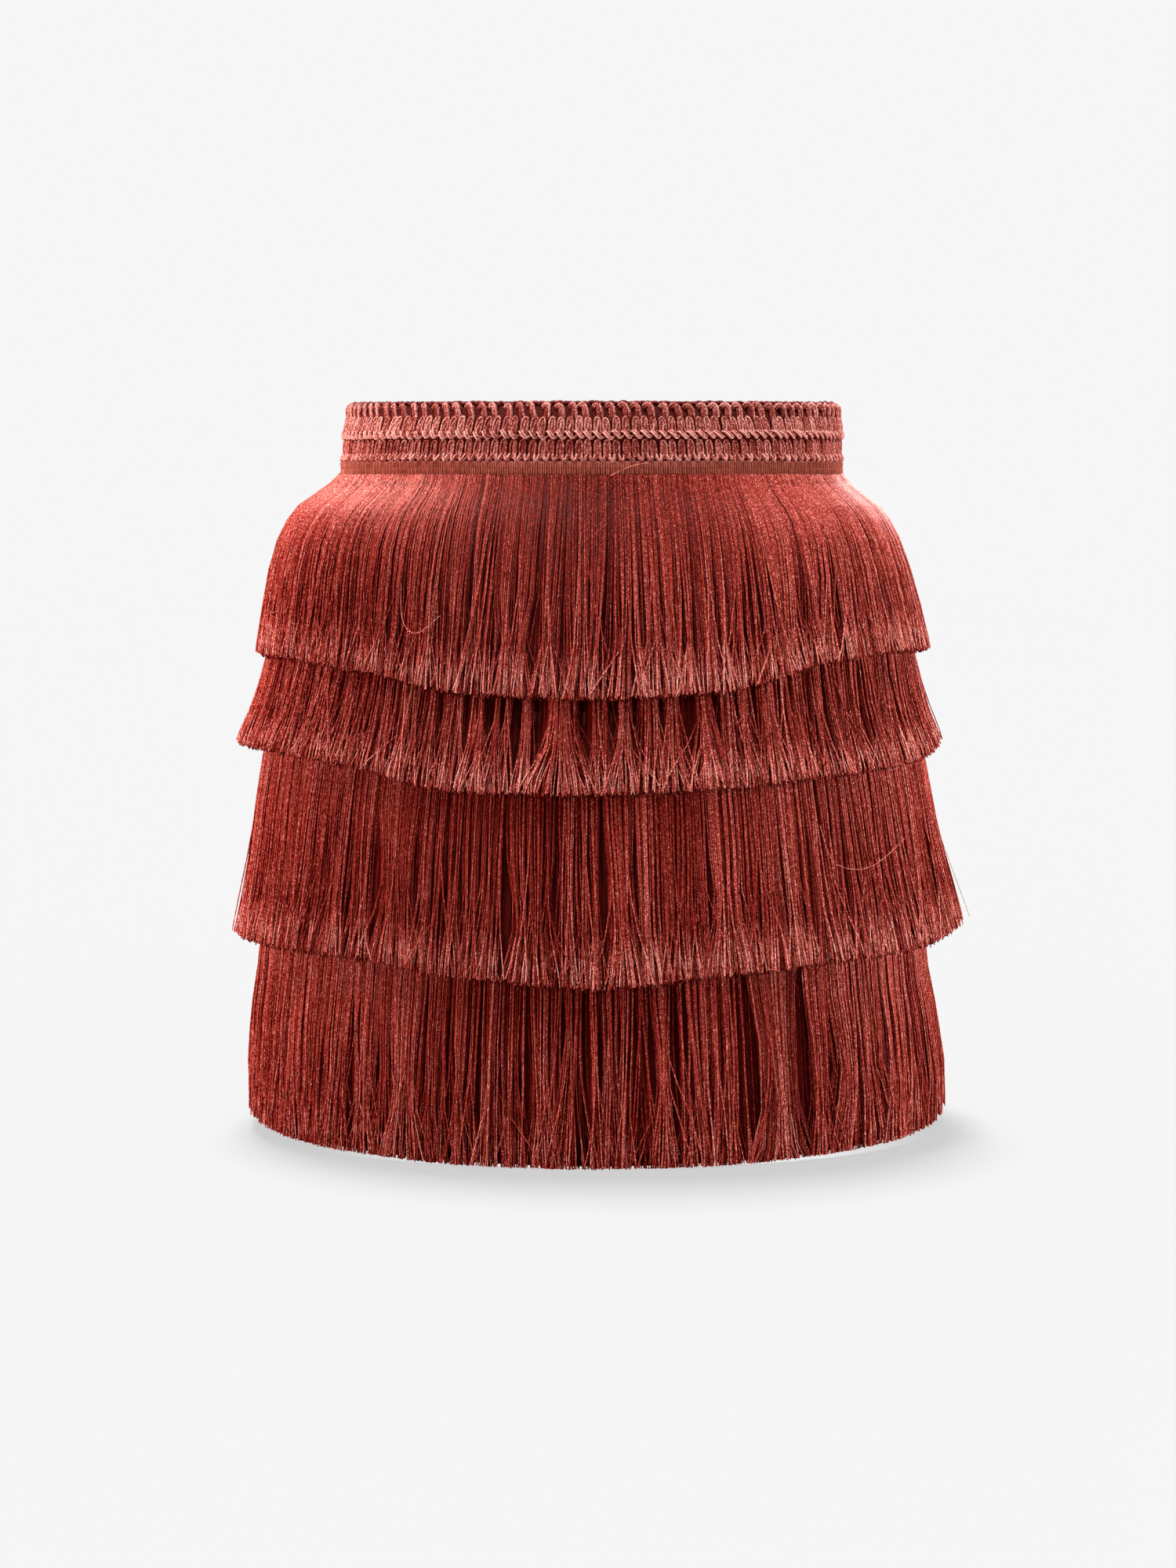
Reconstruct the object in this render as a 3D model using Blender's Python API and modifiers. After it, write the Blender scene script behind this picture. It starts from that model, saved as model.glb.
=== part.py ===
"""Fringe mini skirt: a crochet waistband, a jersey underskirt and four tiers of fringe.

Metres, +Z up. The origin is the centre of the waist, level with the lower edge of the waistband.
The front faces -Y. A bearing is an angle round the skirt, in degrees: 0 is the centre front,
90 is the +X side seam, 180 is the centre back and -90 is the -X side seam.
"""
import math
from collections import namedtuple

import bmesh
import bpy

# Driving dimensions
SEAM_GAP = 0.0003          # air between pieces that are sewn together
SIDE_SEAM = 0.0005         # air at the side seams, measured on the outside, where it is widest
JERSEY = 0.0012            # wall of the underskirt
TAPE = 0.0015              # wall of a header tape
TAPE_HEIGHT = 0.0100       # a header tape, top to bottom
TOP_TAPE_HEIGHT = 0.0062   # what shows of the top tape, under the waistband
CROCHET = 0.0030           # wall of the waistband
FRINGE_HEM = 0.0040        # thickness of a fringe at its hem
FRINGE_ROOT_SHARE = 0.35   # thickness at its root, as a share of the thickness at its hem
SQUARENESS = 2.15          # exponent of the sections round the body: 2 is an ellipse
BODY_STEPS = 48            # steps round a whole ring

TOP_TAPE_TOP = 0.0050      # height of the top tape's upper edge at the centre front
WAIST_SIDE_DIP = 0.0030    # how much lower the top tape and the band's lower edge are at the sides
BACK_WAIST_DIP = 0.0050    # how much lower the waistband's top is at the centre back
UNDERSKIRT_TOP = 0.0045
UNDERSKIRT_HEM = -0.3250

# The underskirt's outer surface, from the waist down. shift is how far a section's middle lies to +X.
Section = namedtuple("Section", "height half_width front back shift")
FORM = (
    #       height   half_width  front   back    shift
    Section(0.0060, 0.1325, 0.0970, 0.0985, -0.0010),
    Section(-0.0060, 0.1340, 0.0980, 0.1000, -0.0010),
    Section(-0.0120, 0.1385, 0.0990, 0.1022, -0.0015),
    Section(-0.0200, 0.1480, 0.1003, 0.1065, -0.0022),
    Section(-0.0300, 0.1556, 0.1020, 0.1112, -0.0025),
    Section(-0.0450, 0.1622, 0.1044, 0.1170, -0.0025),
    Section(-0.0650, 0.1662, 0.1070, 0.1235, -0.0020),
    Section(-0.1000, 0.1700, 0.1105, 0.1300, -0.0010),
    Section(-0.1500, 0.1736, 0.1140, 0.1340, 0.0000),
    Section(-0.2200, 0.1752, 0.1165, 0.1350, -0.0002),
    Section(-0.2600, 0.1754, 0.1172, 0.1342, -0.0008),
    Section(-0.3250, 0.1780, 0.1180, 0.1320, 0.0010),
)

# The waistband's outer surface. back_dip and side_dip are the shares of those dips at a section.
BandSection = namedtuple("BandSection", "height half_width front back shift back_dip side_dip")
WAISTBAND = (
    #           height  half_width  front   back    shift   back_dip side_dip
    BandSection(0.0358, 0.1278, 0.0945, 0.0960, 0.0000, 1.0, 0.0),
    BandSection(0.0335, 0.1312, 0.0965, 0.0980, 0.0000, 1.0, 0.0),
    BandSection(0.0280, 0.1325, 0.0975, 0.0990, 0.0000, 0.8, 0.0),
    BandSection(0.0170, 0.1334, 0.0980, 0.0995, -0.0005, 0.4, 0.3),
    BandSection(0.0055, 0.1336, 0.0982, 0.0997, -0.0010, 0.0, 1.0),
)

# How far each fringe's outside stands off the underskirt, from its root (fall 0) to its hem (fall 1).
Reach = namedtuple("Reach", "fall side front back shift")
FRINGE_1 = (
    Reach(0.00, 0.0021, 0.0024, 0.0026, 0.0000),
    Reach(0.08, 0.0046, 0.0030, 0.0040, -0.0003),
    Reach(0.18, 0.0056, 0.0042, 0.0052, -0.0004),
    Reach(0.32, 0.0062, 0.0058, 0.0066, -0.0004),
    Reach(0.50, 0.0072, 0.0074, 0.0080, 0.0000),
    Reach(0.75, 0.0092, 0.0092, 0.0098, 0.0003),
    Reach(1.00, 0.0102, 0.0108, 0.0112, 0.0010),
)
FRINGE_2 = (
    Reach(0.00, 0.0026, 0.0026, 0.0026, 0.0000),
    Reach(0.25, 0.0034, 0.0036, 0.0038, 0.0000),
    Reach(0.50, 0.0043, 0.0050, 0.0052, -0.0005),
    Reach(0.75, 0.0088, 0.0078, 0.0082, -0.0018),
    Reach(1.00, 0.0152, 0.0112, 0.0120, -0.0022),
)
FRINGE_3 = (
    Reach(0.00, 0.0022, 0.0022, 0.0022, 0.0000),
    Reach(0.25, 0.0062, 0.0052, 0.0054, 0.0000),
    Reach(0.50, 0.0094, 0.0078, 0.0082, 0.0008),
    Reach(0.75, 0.0146, 0.0100, 0.0106, 0.0021),
    Reach(1.00, 0.0202, 0.0128, 0.0136, 0.0030),
)
FRINGE_4 = (
    Reach(0.00, 0.0022, 0.0022, 0.0022, 0.0000),
    Reach(0.25, 0.0042, 0.0044, 0.0046, 0.0000),
    Reach(0.50, 0.0082, 0.0072, 0.0076, 0.0002),
    Reach(0.75, 0.0108, 0.0090, 0.0094, 0.0006),
    Reach(0.90, 0.0108, 0.0094, 0.0098, 0.0006),
    Reach(1.00, 0.0088, 0.0090, 0.0094, 0.0004),
)

# Each tier: the height of its tape's upper edge and of its hem, both at the centre front.
Tier = namedtuple("Tier", "tape_top tape_height hem reach")
TIERS = (
    Tier(TOP_TAPE_TOP, TOP_TAPE_HEIGHT, -0.1132, FRINGE_1),
    Tier(-0.0455, TAPE_HEIGHT, -0.1639, FRINGE_2),
    Tier(-0.1220, TAPE_HEIGHT, -0.2617, FRINGE_3),
    Tier(-0.2160, TAPE_HEIGHT, -0.3570, FRINGE_4),
)

# How much higher each hem hangs away from the centre front, because the fringe swings out there.
Rise = namedtuple("Rise", "bearing tier_1 tier_2 tier_3 tier_4")
HEM_RISE = (
    #    bearing tier_1 tier_2 tier_3 tier_4
    Rise(-180, 0.004, 0.004, 0.005, 0.000),
    Rise(-135, 0.011, 0.009, 0.009, 0.002),
    Rise(-90, 0.014, 0.018, 0.012, 0.012),
    Rise(-60, 0.016, 0.019, 0.013, 0.005),
    Rise(-40, 0.012, 0.015, 0.013, 0.003),
    Rise(-20, 0.002, 0.003, 0.005, 0.001),
    Rise(0, 0.000, 0.002, 0.000, 0.000),
    Rise(20, 0.003, 0.005, 0.007, 0.001),
    Rise(40, 0.017, 0.009, 0.011, 0.003),
    Rise(60, 0.020, 0.012, 0.013, 0.005),
    Rise(90, 0.017, 0.018, 0.019, 0.012),
    Rise(135, 0.012, 0.008, 0.009, 0.002),
    Rise(180, 0.004, 0.004, 0.005, 0.000),
)

# Colour, roughness of each cloth
FINISHES = {
    "crochet_yarn": ((0.37, 0.088, 0.066, 1.0), 0.85),
    "ribbed_tape": ((0.31, 0.063, 0.040, 1.0), 0.80),
    "silky_fringe": ((0.25, 0.040, 0.030, 1.0), 0.45),
    "jersey": ((0.20, 0.035, 0.028, 1.0), 0.90),
}


def mix(low, high, share):
    return low + (high - low) * share


def between(rows, key, value):
    """The row of a table at a value of its key column, found between the two rows beside it."""
    ordered = sorted(rows, key=lambda row: getattr(row, key))
    value = min(max(value, getattr(ordered[0], key)), getattr(ordered[-1], key))
    for low, high in zip(ordered, ordered[1:]):
        if value <= getattr(high, key):
            break
    share = (value - getattr(low, key)) / (getattr(high, key) - getattr(low, key))
    return type(low)(*(mix(a, b, share) for a, b in zip(low, high)))


def ease(rows, key, value):
    """As between, but easing in and out of each row, so that a hem has no corners."""
    keys = sorted(getattr(row, key) for row in rows)
    value = min(max(value, keys[0]), keys[-1])
    low = max(k for k in keys if k <= value)
    high = min([k for k in keys if k > value] or [low + 1])
    share = (value - low) / (high - low)
    return between(rows, key, low + (high - low) * share * share * (3 - 2 * share))


def contour(section, bearing, out=(0.0, 0.0, 0.0), shift=0.0):
    """A point on a section. out moves it off the section at the side, the front and the back."""
    turn = math.radians(bearing)
    sideways = math.copysign(abs(math.sin(turn)) ** (2 / SQUARENESS), math.sin(turn))
    forwards = math.copysign(abs(math.cos(turn)) ** (2 / SQUARENESS), math.cos(turn))
    depth = section.front + out[1] if forwards > 0 else section.back + out[2]
    return section.shift + shift + (section.half_width + out[0]) * sideways, -depth * forwards


def form_point(bearing, height, out=(0.0, 0.0, 0.0), shift=0.0):
    """A point on the underskirt's outer surface, or moved off it."""
    x, y = contour(between(FORM, "height", height), bearing, out, shift)
    return x, y, height


def side_dip(bearing):
    return -WAIST_SIDE_DIP * abs(math.sin(math.radians(bearing))) ** 4


def ring_bearings():
    return [360 * step / BODY_STEPS - 180 for step in range(BODY_STEPS)]


def cloth(name, rows, closed, wall, finish, fullness=None):
    """A wall of cloth through rows of points, top row first, its outside on the points.

    fullness, where given, is the share of the wall's thickness at each row.
    """
    mesh_builder = bmesh.new()
    grid = [[mesh_builder.verts.new(point) for point in row] for row in rows]
    columns = len(grid[0])
    for upper, lower in zip(grid, grid[1:]):
        for here in range(columns if closed else columns - 1):
            there = (here + 1) % columns
            mesh_builder.faces.new((upper[here], lower[here], lower[there], upper[there]))
    mesh = bpy.data.meshes.new(name)
    mesh_builder.to_mesh(mesh)
    mesh_builder.free()
    mesh.materials.append(material(finish))
    piece = bpy.data.objects.new(name, mesh)
    skirt.objects.link(piece)
    solid = piece.modifiers.new("wall", "SOLIDIFY")
    solid.thickness = wall
    solid.offset = -1
    solid.use_even_offset = True
    if fullness:
        weights = piece.vertex_groups.new(name="fullness")
        for level, share in enumerate(fullness):
            ring = list(range(level * columns, (level + 1) * columns))
            weights.add(ring, share, "REPLACE")
        solid.vertex_group = weights.name


def material(finish):
    """The Principled material of one cloth, made once."""
    found = bpy.data.materials.get(finish)
    if found:
        return found
    made = bpy.data.materials.new(finish)
    made.use_nodes = True
    colour, roughness = FINISHES[finish]
    shader = made.node_tree.nodes["Principled BSDF"]
    shader.inputs["Base Color"].default_value = colour
    shader.inputs["Roughness"].default_value = roughness
    shader.inputs["Metallic"].default_value = 0.0
    return made


def waistband():
    """The crochet tube, leaning in a little at its top row."""
    rows = []
    for section in WAISTBAND:
        row = []
        for bearing in ring_bearings():
            x, y = contour(section, bearing)
            behind = (1 - math.cos(math.radians(bearing))) / 2
            height = section.height - BACK_WAIST_DIP * behind * section.back_dip
            row.append((x, y, height + side_dip(bearing) * section.side_dip))
        rows.append(row)
    cloth("waistband", rows, True, CROCHET, "crochet_yarn")


def underskirt():
    """Front and back jersey panels, a seam gap apart at both sides."""
    heights = [row.height for row in FORM if UNDERSKIRT_HEM <= row.height < UNDERSKIRT_TOP]
    heights = [UNDERSKIRT_TOP] + heights
    half = BODY_STEPS // 2
    for name, middle, towards in (("base_front", 0, 1), ("base_back", 180, -1)):
        rows = []
        for height in heights:
            row = []
            for step in range(half + 1):
                bearing = middle - 90 + 180 * step / half
                dip = side_dip(bearing) if height == UNDERSKIRT_TOP else 0.0
                x, y, z = form_point(bearing, height + dip)
                if step in (0, half):
                    y = -towards * SIDE_SEAM / 2
                row.append((x, y, z))
            rows.append(row)
        cloth(name, rows, False, JERSEY, "jersey")


def header_tape(number, tier):
    """A ribbed tape round the underskirt, made from the underskirt's points moved out."""
    off = SEAM_GAP + TAPE
    rows = []
    for height in (tier.tape_top, tier.tape_top - tier.tape_height):
        row = []
        for bearing in ring_bearings():
            level = height + (side_dip(bearing) if number == 1 else 0.0)
            row.append(form_point(bearing, level, (off, off, off)))
        rows.append(row)
    cloth(f"tape_{number}", rows, True, TAPE, "ribbed_tape")


def fringe(number, tier):
    """The plain solid of one fringe's reach, from just under its tape to its hem."""
    rows = []
    root = tier.tape_top - tier.tape_height - SEAM_GAP
    for reach in tier.reach:
        row = []
        for bearing in ring_bearings():
            start = root + (side_dip(bearing) if number == 1 else 0.0)
            hem = tier.hem + getattr(ease(HEM_RISE, "bearing", bearing), f"tier_{number}")
            out = (reach.side, reach.front, reach.back)
            row.append(form_point(bearing, mix(start, hem, reach.fall), out, reach.shift))
        rows.append(row)
    fullness = [mix(FRINGE_ROOT_SHARE, 1.0, reach.fall) for reach in tier.reach]
    cloth(f"fringe_{number}", rows, True, FRINGE_HEM, "silky_fringe", fullness)


for left_over in list(bpy.data.objects):
    bpy.data.objects.remove(left_over, do_unlink=True)

skirt = bpy.data.collections.new("fringe_mini_skirt")
bpy.context.scene.collection.children.link(skirt)

waistband()
underskirt()
for number, tier in enumerate(TIERS, start=1):
    header_tape(number, tier)
    fringe(number, tier)
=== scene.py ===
"""Looks of the fringe mini skirt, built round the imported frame. Metres, +Z up, front towards -Y."""
import math

import bpy
import numpy as np
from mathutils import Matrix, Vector
from mathutils.bvhtree import BVHTree


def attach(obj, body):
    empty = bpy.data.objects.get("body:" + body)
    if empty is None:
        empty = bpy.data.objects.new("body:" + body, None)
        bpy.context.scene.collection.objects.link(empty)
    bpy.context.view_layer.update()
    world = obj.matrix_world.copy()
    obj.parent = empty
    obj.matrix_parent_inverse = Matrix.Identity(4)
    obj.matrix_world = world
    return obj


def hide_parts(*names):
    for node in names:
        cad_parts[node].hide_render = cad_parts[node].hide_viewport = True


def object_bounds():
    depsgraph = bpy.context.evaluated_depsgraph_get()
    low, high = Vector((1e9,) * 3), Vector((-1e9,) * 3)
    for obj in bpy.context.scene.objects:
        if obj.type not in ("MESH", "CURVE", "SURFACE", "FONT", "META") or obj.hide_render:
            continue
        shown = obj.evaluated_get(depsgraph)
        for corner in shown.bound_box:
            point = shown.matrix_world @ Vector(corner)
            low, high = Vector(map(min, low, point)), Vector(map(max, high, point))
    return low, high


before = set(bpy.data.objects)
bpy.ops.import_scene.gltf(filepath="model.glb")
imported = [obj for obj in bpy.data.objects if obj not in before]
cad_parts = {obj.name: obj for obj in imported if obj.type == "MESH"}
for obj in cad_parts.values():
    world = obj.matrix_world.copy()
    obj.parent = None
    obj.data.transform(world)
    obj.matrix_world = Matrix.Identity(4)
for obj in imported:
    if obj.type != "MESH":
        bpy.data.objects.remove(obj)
cad_low, cad_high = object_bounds()

# ------------------------------------------------------------------------------------------
# Studio. The lowest threads just clear a pale paper floor, which turns up into a round wall
# well behind the skirt on every side. Soft lights stand high in front, left and right, and
# lower at both sides and behind. The camera looks slightly down on the front.

CAMERA_DISTANCE = 2.2
CAMERA_ABOVE_WAIST = 0.077
LOOKS_AT_BELOW_WAIST = 0.172
CAMERA_ASIDE = -0.003
LENS = 94.06
FILM_WIDTH = 36

camera_data = bpy.data.cameras.new("camera")
camera_data.lens = LENS
camera_data.sensor_width = FILM_WIDTH
camera = bpy.data.objects.new("camera", camera_data)
camera.location = (CAMERA_ASIDE, -CAMERA_DISTANCE, CAMERA_ABOVE_WAIST)
look_down = math.atan((CAMERA_ABOVE_WAIST + LOOKS_AT_BELOW_WAIST) / CAMERA_DISTANCE)
camera.rotation_euler = (math.pi / 2 - look_down, 0, 0)
bpy.context.scene.collection.objects.link(camera)
bpy.context.scene.camera = camera
bpy.context.scene.view_settings.view_transform = "Standard"

FLOOR_GAP = 0.0006
FLOOR_RADIUS = 4.0
WALL_RADIUS = 6.0
WALL_TOP = 6.0
PAPER_TURNS = 96
CORNER_STEPS = 16
PAPER_BRIGHTNESS = 0.921
PAPER_SHADE = 0.12
GLOW_ABOVE = 0.45
GLOW_BELOW = 0.05
GLOW_BLEND = 0.05
FROM_WORLD = GLOW_ABOVE * PAPER_SHADE
FROM_SUN = 0.28
SUN_PLACE = Vector((-0.06, 0.23, 1.0))
SUN_SPREAD = 15

floor_level = cad_low.z - FLOOR_GAP


def paper_part(name, profile, shade, lit_by_room, lit_by_sun):
    """A ring of backdrop paper. It glows by what the light on it leaves short of its brightness."""
    mesh = bpy.data.meshes.new(name)
    links = [(i, i + 1) for i in range(len(profile) - 1)]
    mesh.from_pydata([(-x, 0, floor_level + z) for x, z in profile], links, [])
    piece = bpy.data.objects.new(name, mesh)
    bpy.context.scene.collection.objects.link(piece)
    turned = piece.modifiers.new("turned", "SCREW")
    turned.axis = "Z"
    turned.steps = turned.render_steps = PAPER_TURNS
    turned.use_merge_vertices = True
    turned.merge_threshold = 0.0001
    turned.use_smooth_shade = True
    piece.visible_diffuse = False
    piece.visible_glossy = False
    piece.visible_shadow = False
    paper = bpy.data.materials.new(name)
    paper.use_nodes = True
    shader = paper.node_tree.nodes["Principled BSDF"].inputs
    shader["Base Color"].default_value = (shade, shade, shade, 1)
    shader["Roughness"].default_value = 1
    shader["Specular IOR Level"].default_value = 0
    shader["Emission Color"].default_value = (1, 1, 1, 1)
    shader["Emission Strength"].default_value = PAPER_BRIGHTNESS - lit_by_room - lit_by_sun
    mesh.materials.append(paper)
    return piece


corner = WALL_RADIUS - FLOOR_RADIUS
turns = [math.pi / 2 * step / CORNER_STEPS for step in range(CORNER_STEPS + 1)]
level = [(0.0, 0.0), (1.0, 0.0), (FLOOR_RADIUS, 0.0)]
turned_up = [(FLOOR_RADIUS + corner * math.sin(t), corner * (1 - math.cos(t))) for t in turns]
floor = paper_part("paper_floor", level, PAPER_SHADE, FROM_WORLD, FROM_SUN)
wall = paper_part("paper_wall", [*turned_up, (WALL_RADIUS, WALL_TOP)], 0, 0, 0)

# The room glows softly, more from above than from below, and gives the threads no shine.
world = bpy.data.worlds.new("studio")
world.use_nodes = True
nodes = world.node_tree.nodes
way = nodes.new("ShaderNodeTexCoord")
parts = nodes.new("ShaderNodeSeparateXYZ")
glow = nodes.new("ShaderNodeMapRange")
glow.inputs["From Min"].default_value = -GLOW_BLEND
glow.inputs["From Max"].default_value = GLOW_BLEND
glow.inputs["To Min"].default_value = GLOW_BELOW
glow.inputs["To Max"].default_value = GLOW_ABOVE
for source, target in (
    (way.outputs["Generated"], parts.inputs["Vector"]),
    (parts.outputs["Z"], glow.inputs["Value"]),
    (glow.outputs["Result"], nodes["Background"].inputs["Strength"]),
):
    world.node_tree.links.new(source, target)
nodes["Background"].inputs["Color"].default_value = (1, 1, 1, 1)
world.cycles_visibility.glossy = False
bpy.context.scene.world = world


def lit(name, lamp, place, aim, lit_things, state):
    """Sets up a lamp that faces the aim. It lights only these things, or all but these."""
    holder = bpy.data.objects.new(name, lamp)
    holder.location = place
    holder.rotation_euler = (Vector(aim) - Vector(place)).to_track_quat("-Z", "Y").to_euler()
    bpy.context.scene.collection.objects.link(holder)
    group = bpy.data.collections.new(name)
    for thing in lit_things:
        group.objects.link(thing)
    for member in group.collection_objects:
        member.light_linking.link_state = state
    holder.light_linking.receiver_collection = group
    return holder


HIPS = (0, 0, -0.06)


def soft_light(name, place, width, watts, matt=True, shine=True):
    """A square soft light on the skirt, which can leave out its matt light or its shine."""
    lamp = bpy.data.lights.new(name, "AREA")
    lamp.shape = "SQUARE"
    lamp.size = width
    lamp.energy = watts
    holder = lit(name, lamp, place, HIPS, (floor, wall), "EXCLUDE")
    holder.visible_glossy = shine
    holder.visible_diffuse = matt


# High lamps light the hips and low ones the sides. The low ones give no shine, so that the gaps
# between the locks stay dark, and the glints give only the shine on the threads over the hips.
soft_light("left_high", (-0.60, -0.60, 2.1), 0.6, 44)
soft_light("right_high", (0.60, -0.60, 2.1), 0.6, 9)
soft_light("front_top", (0, -1.2, 1.9), 0.7, 6)
soft_light("left_glint", (-0.50, -0.62, 2.15), 0.5, 95, matt=False)
soft_light("right_glint", (0.50, -0.62, 2.15), 0.5, 50, matt=False)
soft_light("left_side", (-1.85, -1.2, -0.2), 1.2, 39, shine=False)
soft_light("right_side", (2.2, -0.7, -0.3), 1.2, 34, shine=False)
soft_light("left_edge", (-2.2, 0.3, -0.15), 1.0, 44, shine=False)
soft_light("right_edge", (2.2, 0.3, -0.15), 1.0, 38, shine=False)
soft_light("left_back", (-1.1, 1.6, 0.9), 0.8, 38)
soft_light("right_back", (1.1, 1.6, 0.9), 0.8, 32)

sun = bpy.data.lights.new("paper_sun", "SUN")
sun.angle = math.radians(SUN_SPREAD)
sun.energy = math.pi * FROM_SUN / PAPER_SHADE / SUN_PLACE.normalized().z
lit("paper_sun", sun, SUN_PLACE, (0, 0, 0), (floor,), "INCLUDE")

# ------------------------------------------------------------------------------------------
# Underskirt. A pull-on tube of fine matt jersey in two panels, joined at the side seams and
# sewn to the waistband. The fringes hide it, apart from its inside and its plain hem.


class Hang:
    """A wall of the frame measured from outside: its top, its hem and how far out it lies.

    A bearing is an angle round the skirt: 0 is the centre front and pi/2 the +X side. A share
    runs from 0 at the wall's top to 1 at its hem. Along is the distance round its middle.
    """

    BEARINGS = 144
    LEVELS = 48
    FIRST_SHARE = 0.004
    # Each bearing is looked along from this far out, and an edge found by halving from past it.
    FAR = 0.5
    PAST_EDGE = 0.002
    HALVINGS = 16
    # From this level down the solid is rounded under. The slope is taken over the run-up to it.
    ROUNDED_FROM = 44
    RUN_UP = 5
    ROUNDS_SOFTENED = 2

    def __init__(self, *nodes):
        points, faces = [], []
        for node in nodes:
            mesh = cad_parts[node].data
            first = len(points)
            points += [v.co.copy() for v in mesh.vertices]
            faces += [[first + i for i in p.vertices] for p in mesh.polygons]
        self.tree = BVHTree.FromPolygons(points, faces)
        high = max(p.z for p in points)
        low = min(p.z for p in points)
        middle = (high + low) / 2
        self.bearings = (np.arange(self.BEARINGS) + 0.5) * 2 * math.pi / self.BEARINGS
        self.shares = np.linspace(self.FIRST_SHARE, 1 - self.FIRST_SHARE, self.LEVELS)
        self.top = np.array([self.edge(b, middle, high + self.PAST_EDGE) for b in self.bearings])
        self.hem = np.array([self.edge(b, middle, low - self.PAST_EDGE) for b in self.bearings])
        reach = np.array(
            [
                [self.hit(b, t + (h - t) * s) for s in self.shares]
                for b, t, h in zip(self.bearings, self.top, self.hem)
            ]
        )
        # The solid's hem is rounded under, but cloth and threads run on as they hang.
        last = self.ROUNDED_FROM
        slope = (reach[:, last] - reach[:, last - self.RUN_UP]) / self.RUN_UP
        for level in range(last + 1, self.LEVELS):
            reach[:, level] = reach[:, last] + slope * (level - last)
        for _ in range(self.ROUNDS_SOFTENED):
            reach = self.softened(reach)
            self.top = self.softened(self.top)
            self.hem = self.softened(self.hem)
        self.reach = reach
        ring = self.point(self.bearings, np.full(self.BEARINGS, 0.5))
        steps = np.linalg.norm(np.roll(ring, -1, axis=0) - ring, axis=1)
        self.girth = float(steps.sum())
        self.along = np.concatenate([[0], np.cumsum(steps)])
        self.drop = float(np.mean(self.top - self.hem))

    def hit(self, bearing, height):
        """How far out the wall lies at one bearing and height, or None where it isn't."""
        way = Vector((math.sin(bearing), -math.cos(bearing), 0))
        start = way * self.FAR + Vector((0, 0, height))
        place = self.tree.ray_cast(start, -way, self.FAR)[0]
        return None if place is None else place.xy.length

    def edge(self, bearing, inside, outside):
        """The height at which the wall ends, between a height on it and one off it."""
        for _ in range(self.HALVINGS):
            middle = (inside + outside) / 2
            if self.hit(bearing, middle) is None:
                outside = middle
            else:
                inside = middle
        return inside

    @staticmethod
    def softened(values):
        """Evens each value out with its neighbours round the ring."""
        return (np.roll(values, 1, axis=0) + 2 * values + np.roll(values, -1, axis=0)) / 4

    def between(self, bearing):
        """The two measured bearings next to these ones, and the share of the way to the second."""
        place = np.asarray(bearing) / (2 * math.pi) * self.BEARINGS - 0.5
        low = np.floor(place).astype(int)
        return low % self.BEARINGS, (low + 1) % self.BEARINGS, place - low

    def height(self, bearing, share):
        """How high the wall is at a share of its drop."""
        left, right, part = self.between(bearing)
        top = self.top[left] * (1 - part) + self.top[right] * part
        hem = self.hem[left] * (1 - part) + self.hem[right] * part
        return top + (hem - top) * share

    def radius(self, bearing, share):
        """How far the wall is from the middle of the skirt."""
        left, right, part = self.between(bearing)
        place = (np.clip(share, 0, 1) - self.shares[0]) / (self.shares[1] - self.shares[0])
        place = np.clip(place, 0, self.LEVELS - 1.001)
        low = np.floor(place).astype(int)
        upper = self.reach[left, low] * (1 - part) + self.reach[right, low] * part
        lower = self.reach[left, low + 1] * (1 - part) + self.reach[right, low + 1] * part
        return upper + (lower - upper) * (place - low)

    def point(self, bearing, share, out=0.0):
        """Points on the wall, or moved off it by out. Works on whole arrays."""
        reach = self.radius(bearing, share) + out
        x = reach * np.sin(bearing)
        y = -reach * np.cos(bearing)
        return np.stack(np.broadcast_arrays(x, y, self.height(bearing, share)), axis=-1)

    def bearing_at(self, along):
        """The bearing at a distance round the wall."""
        ends = np.append(self.bearings, self.bearings[0] + 2 * math.pi)
        return np.interp(np.mod(along, self.girth), self.along, ends)


class Value:
    """An output socket of a node tree that takes part in sums."""

    def __init__(self, graph, socket):
        self.graph = graph
        self.socket = socket

    def sum(self, operation, *sides):
        return self.graph.node("ShaderNodeMath", {"operation": operation}, dict(enumerate(sides)))

    def __add__(self, other):
        return self.sum("ADD", self, other)

    def __sub__(self, other):
        return self.sum("SUBTRACT", self, other)

    def __mul__(self, other):
        return self.sum("MULTIPLY", self, other)

    def __rsub__(self, other):
        return self.sum("SUBTRACT", other, self)

    __radd__ = __add__
    __rmul__ = __mul__


class Graph:
    """Builds one node tree, of a material or of geometry."""

    def __init__(self, tree):
        self.tree = tree

    def node(self, kind, settings=None, sockets=None, output=0):
        """A node with its settings made first and then its sockets. Gives one of its outputs."""
        made = self.tree.nodes.new(kind)
        for name, value in (settings or {}).items():
            if name == "stops":
                self.set_stops(made.color_ramp, value)
            else:
                setattr(made, name, value)
        for name, value in (sockets or {}).items():
            if isinstance(value, Value):
                self.tree.links.new(value.socket, made.inputs[name])
            else:
                made.inputs[name].default_value = value
        return None if output is None else Value(self, made.outputs[output])

    @staticmethod
    def set_stops(ramp, stops):
        """Gives a colour ramp its stops, each a place and a colour."""
        while len(ramp.elements) < len(stops):
            ramp.elements.new(0.5)
        for element, (place, colour) in zip(ramp.elements, stops):
            element.position = place
            element.color = colour

    def blend(self, low, high, share):
        """A colour between two colours."""
        return self.node("ShaderNodeMix", {"data_type": "RGBA"}, {0: share, 6: low, 7: high}, 2)


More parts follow.
